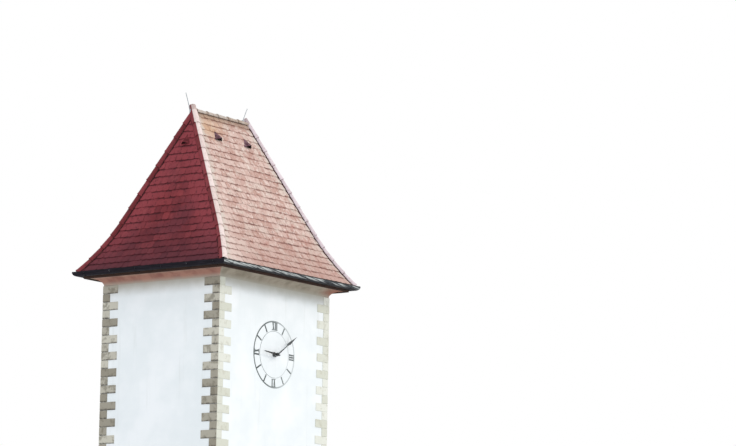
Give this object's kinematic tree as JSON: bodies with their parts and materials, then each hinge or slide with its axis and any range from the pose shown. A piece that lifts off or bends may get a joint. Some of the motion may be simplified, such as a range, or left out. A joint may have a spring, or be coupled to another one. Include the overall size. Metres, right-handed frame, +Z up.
{
  "type": "clock tower",
  "caption": "Square rendered masonry clock tower with corner quoins, coved eaves, a steep flared hip roof of flat tiles and two turning hands on a painted dial.",
  "frame": {"origin": "middle of the tower's footprint at ground level", "axes": "+Z up, the clock side looks along -Y, the ridge lies along X"},
  "size_m": [5.3664, 4.6064, 16.3594],
  "materials": {
    "wall_render": "matte",
    "quoin_stone": "matte",
    "cove_render": "matte",
    "fascia_wood": "matte",
    "roof_tile": "matte",
    "cap_tile": "matte",
    "gutter_zinc": "satin",
    "rod_steel": "satin",
    "dial_paint": "matte",
    "hand_paint": "satin",
    "shaft_steel": "satin"
  },
  "bodies": {
    "tower": {"front_wall": "wall_render", "back_wall": "wall_render", "left_wall": "wall_render", "right_wall": "wall_render", "quoins_front_left": "quoin_stone", "quoins_front_right": "quoin_stone", "quoins_back_left": "quoin_stone", "quoins_back_right": "quoin_stone", "front_cove": "cove_render", "back_cove": "cove_render", "left_cove": "cove_render", "right_cove": "cove_render", "front_fascia": "fascia_wood", "back_fascia": "fascia_wood", "left_fascia": "fascia_wood", "right_fascia": "fascia_wood", "front_roof_slope": "roof_tile", "back_roof_slope": "roof_tile", "left_roof_slope": "roof_tile", "right_roof_slope": "roof_tile", "ridge_caps": "cap_tile", "hip_caps_front_left": "cap_tile", "hip_caps_front_right": "cap_tile", "hip_caps_back_left": "cap_tile", "hip_caps_back_right": "cap_tile", "front_gutter": "gutter_zinc", "back_gutter": "gutter_zinc", "left_gutter": "gutter_zinc", "right_gutter": "gutter_zinc", "gutter_brackets": "gutter_zinc", "front_vents": "roof_tile", "back_vents": "roof_tile", "left_vent": "roof_tile", "right_vent": "roof_tile", "lightning_rod_left": "rod_steel", "lightning_rod_right": "rod_steel", "dial_outer_ring": "dial_paint", "dial_inner_ring": "dial_paint", "dial_marks": "dial_paint", "arbor_sleeve": "shaft_steel"},
    "hour_hand_set": {"hour_pipe": "shaft_steel", "hour_hand": "hand_paint"},
    "minute_hand_set": {"minute_arbor": "shaft_steel", "minute_hand": "hand_paint", "hand_nut": "hand_paint"}
  },
  "joints": [
    {"name": "minute_turn", "type": "hinge", "parent": "tower", "child": "minute_hand_set", "pos_m": [0, -1.75, 10.09], "axis": [0, 1, 0], "continuous": true},
    {"name": "hour_turn", "type": "hinge", "parent": "tower", "child": "hour_hand_set", "pos_m": [0, -1.75, 10.09], "axis": [0, 1, 0], "continuous": true}
  ],
  "couplings": [
    {"joint": "hour_turn", "follows": "minute_turn", "ratio": 0.083333}
  ]
}
